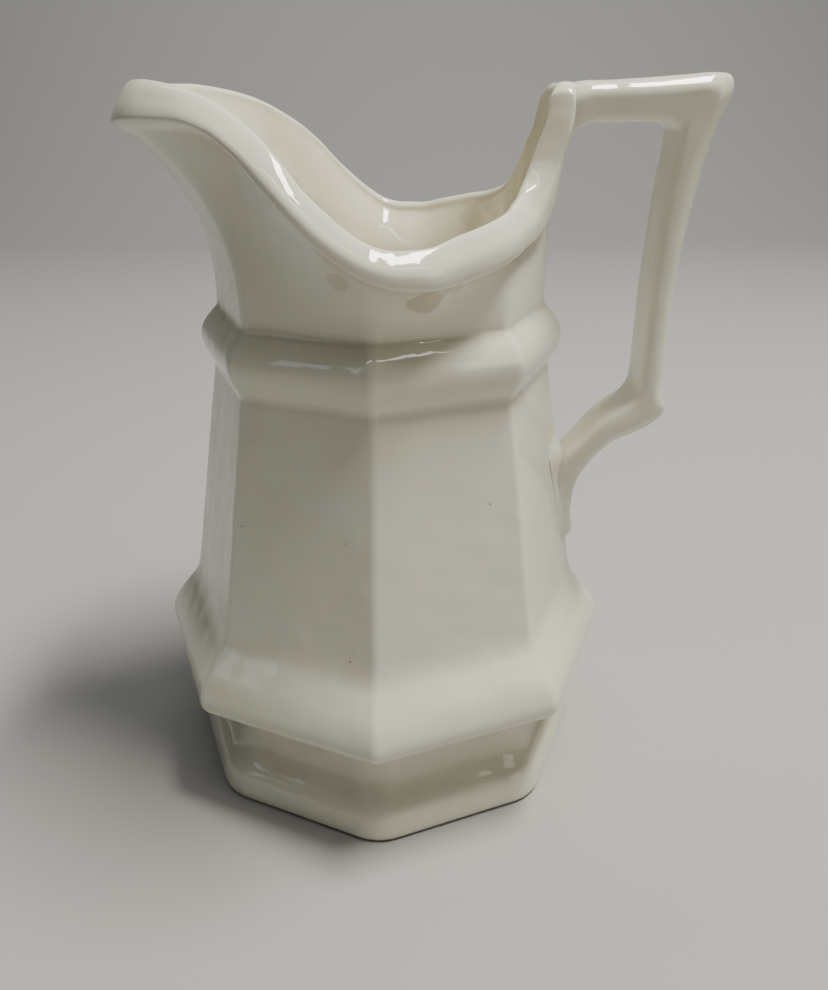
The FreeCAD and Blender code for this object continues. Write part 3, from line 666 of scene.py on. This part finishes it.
# ------------------------------------------------------------------------- the inside
def base_piece():
    """Octagonal bat with a faintly dished floor and underside."""
    angles = np.arange(0.0, 360.0, RING_STEP)
    shares = np.linspace(0.02, 1.0, DISH_ROWS)
    steps = [(share, FLOOR_Z - DISH * (1 - share ** 2)) for share in shares]
    steps += [(1.0, BASE_UNDER_Z)]
    steps += [(share, BASE_UNDER_Z + DISH * (1 - share ** 2)) for share in shares[-2::-1]]
    turn = np.radians(angles)
    radius = octagon(angles, BASE_CORNER, BASE_ROUNDING) - BASE_GAP
    grid = np.stack([
        ring_points(radius * share, turn, np.full(len(turn), height)) for share, height in steps])
    normals = grid_normals(grid, (False, True))
    marks = {
        "curve": np.zeros(grid.shape[:2]),
        "inside": np.broadcast_to((np.arange(len(steps)) < DISH_ROWS)[:, None], grid.shape[:2])}
    faces = loop_faces(*grid.shape[:2])
    make_piece("base", grid, normals, marks, faces, [(0, 0, 1), (0, 0, -1)], "glaze_base")


def ring_piece(name, sections):
    """A closed ring of sections; the last one meets the first."""
    grid = np.stack(sections)
    normals = grid_normals(grid, (True, True))
    rows, columns = grid.shape[:2]
    index = np.arange(rows * columns).reshape(rows, columns)
    a, b = index, np.roll(index, -1, 0)
    faces = np.stack([a, b, np.roll(b, -1, 1), np.roll(a, -1, 1)], axis=-1).reshape(-1, 4).tolist()
    marks = {"curve": np.full(grid.shape[:2], ROLL_CURVE), "inside": np.ones(grid.shape[:2])}
    make_piece(name, grid, normals, marks, faces, [], "glaze_inside")


def base_seam_roll():
    """Clay roll smoothed into the corner between the floor and the walls."""
    share = np.linspace(1.0, 0.0, BASE_ROLL_ROWS)
    face_up = BASE_ROLL_LOW_Z + (BASE_ROLL_TOP_Z - BASE_ROLL_LOW_Z) * share ** BASE_ROLL_UP_POWER
    sections = []
    for angle in np.arange(0.0, 360.0, RING_STEP):
        foot = float(octagon(angle, BASE_CORNER, BASE_ROUNDING)) + BASE_ROLL_OVERLAP
        top = float(octagon(angle, BASE_ROLL_TOP_CORNER, BASE_ROUNDING)) + BASE_ROLL_OVERLAP
        toe = foot - BASE_ROLL_WIDTH
        face_out = toe + (top - ROLL_FEATHER - toe) * share ** BASE_ROLL_OUT_POWER
        back = [(foot, BASE_ROLL_LOW_Z), (top, BASE_ROLL_TOP_Z)]
        outline = np.vstack([back, np.stack([face_out, face_up], axis=-1)])
        sections.append(ring_points(outline[:, 0], math.radians(angle), outline[:, 1]))
    ring_piece("base_seam_roll", sections)


def seam_roll(name, centre):
    """Clay roll worked down the inside of one seam."""
    angles = np.linspace(-ROLL_HALF_ANGLE, ROLL_HALF_ANGLE, SEAM_ROLL_COLUMNS)
    strips = (
        (INNER_LOW_RINGS, INNER_LOW_ROWS), (INNER_PANEL_RINGS, INNER_PANEL_ROWS),
        (INNER_BAND_RINGS, INNER_BAND_ROWS))
    wall = np.concatenate(
        [ring_strip(rings, angles + centre, count)[:, :-1] for rings, count in strips], axis=1)
    edge = (np.abs(angles) / ROLL_HALF_ANGLE)[:, None]
    swell = (ROLL_THICKNESS - ROLL_FEATHER) * (1.0 - ease(0.0, 1.0, edge))
    proud = np.where(edge > 0.97, -ROLL_EDGE_SINK, ROLL_FEATHER + swell - ROLL_FEATHER * edge)
    turn = np.radians(angles + centre)[:, None]
    surface = ring_points(wall[..., 0] - proud, turn, wall[..., 1])
    back = ring_points(wall[..., 0] + ROLL_BACK, turn, wall[..., 1])
    grid = np.concatenate([surface, back[::-1]]).transpose(1, 0, 2)
    normals = -grid_normals(grid, (False, True))
    faces = [face[::-1] for face in loop_faces(*grid.shape[:2])]
    marks = {"curve": curvature(grid, normals, (False, True)), "inside": np.ones(grid.shape[:2])}
    make_piece(name, grid, normals, marks, faces, [(0, 0, -1), (0, 0, 1)], "glaze_inside")


# ------------------------------------------------------------------------- materials
class Shader:
    """Short calls for building one material's nodes."""

    def __init__(self, name):
        self.material = bpy.data.materials.new(name)
        self.material.use_nodes = True
        self.tree = self.material.node_tree
        self.surface = self.tree.nodes["Principled BSDF"]

    def put(self, kind, inputs, **settings):
        """A node with its settings made and its inputs set or linked."""
        node = self.tree.nodes.new("ShaderNode" + kind)
        for key, value in settings.items():
            setattr(node, key, value)
        for key, value in inputs.items():
            self.feed(node.inputs[key], value)
        return node

    def feed(self, socket, value):
        """A socket linked to another node's output, or set to a value."""
        if isinstance(value, bpy.types.NodeSocket):
            self.tree.links.new(value, socket)
        else:
            socket.default_value = value

    def math(self, operation, first, second=0.0):
        """One sum on two values."""
        return self.put("Math", {0: first, 1: second}, operation=operation).outputs[0]

    def times(self, first, second):
        """The product of two values."""
        return self.math("MULTIPLY", first, second)

    def wobble(self, value, noise, depth):
        """A value pushed up and down by noise."""
        return self.math("ADD", value, self.times(self.math("SUBTRACT", noise, 0.5), depth))

    def span(self, value, low, high, to_low=0.0, to_high=1.0):
        """Value mapped from one span to another, with soft ends."""
        return self.put(
            "MapRange", {0: value, 1: low, 2: high, 3: to_low, 4: to_high},
            interpolation_type="SMOOTHSTEP").outputs[0]

    def tint(self, share, under, over):
        """Under mixed towards over by share."""
        return self.put(
            "Mix", {0: share, 6: under, 7: over}, data_type="RGBA", clamp_factor=True).outputs[2]

    def noise(self, place, scale, detail=3.0, roughness=0.5):
        """Cloudy noise from 0 to 1."""
        inputs = {"Vector": place, "Scale": scale, "Detail": detail, "Roughness": roughness}
        return self.put("TexNoise", inputs).outputs[0]

    def spots(self, place, spacing, low, high, keep):
        """Round spots in some cells of a grid of random cells, 1 at their centres."""
        cells = self.put("TexVoronoi", {"Vector": place, "Scale": 1.0 / spacing})
        near = self.span(cells.outputs["Distance"], high, low)
        pick = self.put("SeparateColor", {0: cells.outputs["Color"]}).outputs[0]
        return self.times(near, self.math("LESS_THAN", pick, keep))

    def blob(self, place, centre, reach):
        """1 at a centre, falling to 0 over a reach in each direction, in millimetres."""
        middle, spread = [c * MM for c in centre], [r * MM for r in reach]
        off = self.put("VectorMath", {0: place, 1: middle}, operation="SUBTRACT").outputs[0]
        scaled = self.put("VectorMath", {0: off, 1: spread}, operation="DIVIDE").outputs[0]
        far = self.put("VectorMath", {0: scaled}, operation="LENGTH").outputs["Value"]
        return self.span(far, 1.0, 0.2)


def glaze(name):
    """Thick aged glaze on white ironstone: pooled, with painted shade, in the creases; thin on the
    arrises.
    """
    s = Shader(name)
    place = s.put("TexCoord", {}).outputs["Object"]
    curve = s.put("Attribute", {}, attribute_name="curve").outputs["Fac"]
    inside = s.put("Attribute", {}, attribute_name="inside").outputs["Fac"]
    cloud = s.noise(place, CLOUD_SCALE, 2.0)
    mottle = s.noise(place, MOTTLE_SCALE, 4.0, 0.6)
    pool_and_shade = s.span(s.wobble(curve, mottle, 0.05), *POOL_AND_SHADE_TURN)
    cloudy = [c * k for c, k in zip(GLAZE, CLOUD_SHIFT)] + [1.0]
    body = s.tint(s.span(cloud, 0.35, 0.68), GLAZE, cloudy)
    body = s.tint(s.times(s.span(mottle, 0.45, 0.75), MOTTLE_SHARE), body, GLAZE_MOTTLE)
    # Concave creases darkened: partly pooled glaze, partly painted shade.
    body = s.tint(s.times(pool_and_shade, POOL_AND_SHADE_SHARE), body, GLAZE_POOL_AND_SHADE)
    body = s.tint(s.times(s.span(curve, *THIN_TURN), THIN_SHARE), body, GLAZE_THIN)
    body = s.tint(s.times(inside, INSIDE_SHARE), body, GLAZE_INSIDE)
    body = stained(s, body, place)
    body = worn(s, body, place)
    body = s.tint(s.times(s.spots(place, *SPECKS), SPECK_SHARE), body, SPECK)
    body = s.tint(s.times(s.spots(place, *PALE_SPOTS), PALE_SHARE), body, GLAZE_THIN)
    s.feed(s.surface.inputs["Base Color"], body)
    finish(s, place)


def stained(s, body, place):
    """Tea-coloured stains that have crept under the glaze below the lip."""
    torn = s.noise(place, TORN_SCALE, 4.0, 0.62)
    for centre, reach, strength in STAINS:
        patch = s.wobble(s.blob(place, centre, reach), torn, 1.1)
        body = s.tint(s.times(s.span(patch, 0.42, 0.62), strength), body, STAIN)
    return body


def worn(s, body, place):
    """Grey rub marks along the lower edge of the skirt and a bare, dusty resting edge."""
    height = s.put("SeparateXYZ", {0: place}).outputs[2]
    level = s.times(s.span(height, *RUB_ABOVE), s.span(height, *RUB_BELOW))
    broken = s.span(s.noise(place, RUB_SCALE, 5.0, 0.7), 0.50, 0.60)
    body = s.tint(s.times(s.times(level, broken), RUB_SHARE), body, RUB)
    return s.tint(s.times(s.span(height, *REST_HEIGHT), BARE_SHARE), body, BARE)


def finish(s, place):
    """Gloss, smears and the slight ripple and pits of the glaze."""
    height = s.put("SeparateXYZ", {0: place}).outputs[2]
    smear = s.noise(place, SMEAR_SCALE, 5.0, 0.65)
    gloss = s.span(smear, 0.40, 0.72, *GLOSS)
    bare = s.times(s.span(height, *REST_HEIGHT), BARE_ROUGHNESS)
    s.feed(s.surface.inputs["Roughness"], s.math("MAXIMUM", gloss, bare))
    s.surface.inputs["IOR"].default_value = GLAZE_IOR
    s.surface.inputs["Subsurface Weight"].default_value = DEEP_LIGHT_SHARE
    s.surface.inputs["Subsurface Radius"].default_value = DEEP_LIGHT_REACH
    s.surface.inputs["Subsurface Scale"].default_value = 1.0
    ripple = s.times(s.noise(place, RIPPLE_SCALE, 2.0, 0.4), RIPPLE_HEIGHT)
    peel = s.times(s.noise(place, PEEL_SCALE, 2.0, 0.5), PEEL_HEIGHT)
    pits = s.times(s.spots(place, *PITS), PIT_DEPTH)
    relief = s.math("ADD", s.math("ADD", ripple, peel), pits)
    bump = s.put("Bump", {"Strength": 1.0, "Distance": 1.0, "Height": relief})
    s.feed(s.surface.inputs["Normal"], bump.outputs[0])


def plain(name, colour, roughness):
    """A matt material with a faint mottle, for the studio."""
    s = Shader(name)
    place = s.put("TexCoord", {}).outputs["Object"]
    soft = s.noise(place, 9.0, 4.0)
    body = s.tint(s.times(soft, 0.06), [*colour, 1.0], [c * 0.8 for c in colour] + [1.0])
    s.feed(s.surface.inputs["Base Color"], body)
    s.surface.inputs["Roughness"].default_value = roughness
    return s.material


# ------------------------------------------------------------------------- the studio
def studio_floor(material):
    """A pale floor that curves up into a backdrop well behind the jug."""
    radius = PAPER_BEND_RADIUS
    bend = [
        (PAPER_BEND + radius * math.sin(turn), radius - radius * math.cos(turn))
        for turn in np.linspace(0.05, math.pi / 2, PAPER_BEND_ROWS)]
    path = [(PAPER_FRONT, 0.0), (PAPER_BEND, 0.0)] + bend + [(PAPER_BEND + radius, PAPER_TOP)]
    mesh = bpy.data.meshes.new("studio_floor")
    points = [(x, y, z) for y, z in path for x in (-PAPER_HALF_WIDTH, PAPER_HALF_WIDTH)]
    faces = [(2 * i, 2 * i + 1, 2 * i + 3, 2 * i + 2) for i in range(len(path) - 1)]
    mesh.from_pydata(points, [], faces)
    mesh.polygons.foreach_set("use_smooth", [True] * len(mesh.polygons))
    mesh.materials.append(material)
    floor = bpy.data.objects.new("studio_floor", mesh)
    bpy.context.scene.collection.objects.link(floor)


def soft_light(name, place, towards, size, watts, colour):
    """A rectangular area light at a place, turned towards a point."""
    data = bpy.data.lights.new(name, "AREA")
    data.shape = "RECTANGLE"
    data.size, data.size_y = size
    data.energy = watts
    data.color = colour
    light = bpy.data.objects.new(name, data)
    light.location = place
    light.rotation_mode = "QUATERNION"
    light.rotation_quaternion = (Vector(towards) - Vector(place)).to_track_quat("-Z", "Y")
    bpy.context.scene.collection.objects.link(light)


def world_light(colour, strength):
    """A faint even light from all round."""
    world = bpy.data.worlds.new("studio")
    world.use_nodes = True
    world.node_tree.nodes["Background"].inputs[0].default_value = (*colour, 1.0)
    world.node_tree.nodes["Background"].inputs[1].default_value = strength
    bpy.context.scene.world = world


def camera():
    """The camera at the angle and distance that the jug was seen from."""
    azimuth, elevation = math.radians(CAMERA_AZIMUTH), math.radians(CAMERA_ELEVATION)
    tilt = math.radians(CAMERA_TILT)
    back = Vector((
        math.sin(azimuth) * math.cos(elevation), -math.cos(azimuth) * math.cos(elevation),
        math.sin(elevation)))
    right = (-back).cross(Vector((0, 0, 1))).normalized()
    up = right.cross(-back).normalized()
    tilted_right = right * math.cos(tilt) + up * math.sin(tilt)
    tilted_up = up * math.cos(tilt) - right * math.sin(tilt)
    data = bpy.data.cameras.new("camera")
    data.sensor_width = SENSOR_WIDTH
    data.lens = LENS
    data.shift_x, data.shift_y = SHIFT
    data.clip_start, data.clip_end = CLIP
    seen = bpy.data.objects.new("camera", data)
    turn = Matrix((tilted_right, tilted_up, back)).transposed()
    seen.matrix_world = Matrix.Translation(CAMERA_PLACE) @ turn.to_4x4()
    bpy.context.scene.collection.objects.link(seen)
    bpy.context.scene.camera = seen


def main():
    """The jug's nine pieces, then the paper, the lights and the camera."""
    for coat in COATS.values():
        glaze(coat)
    half_walls()
    handle_pieces()
    base_seam_roll()
    seam_roll("spout_seam_roll", 180.0)
    seam_roll("handle_seam_roll", 0.0)
    base_piece()
    studio_floor(plain("studio_paper", FLOOR, PAPER_ROUGHNESS))
    for light in LIGHTS:
        soft_light(*light)
    world_light(*WORLD)
    camera()


main()
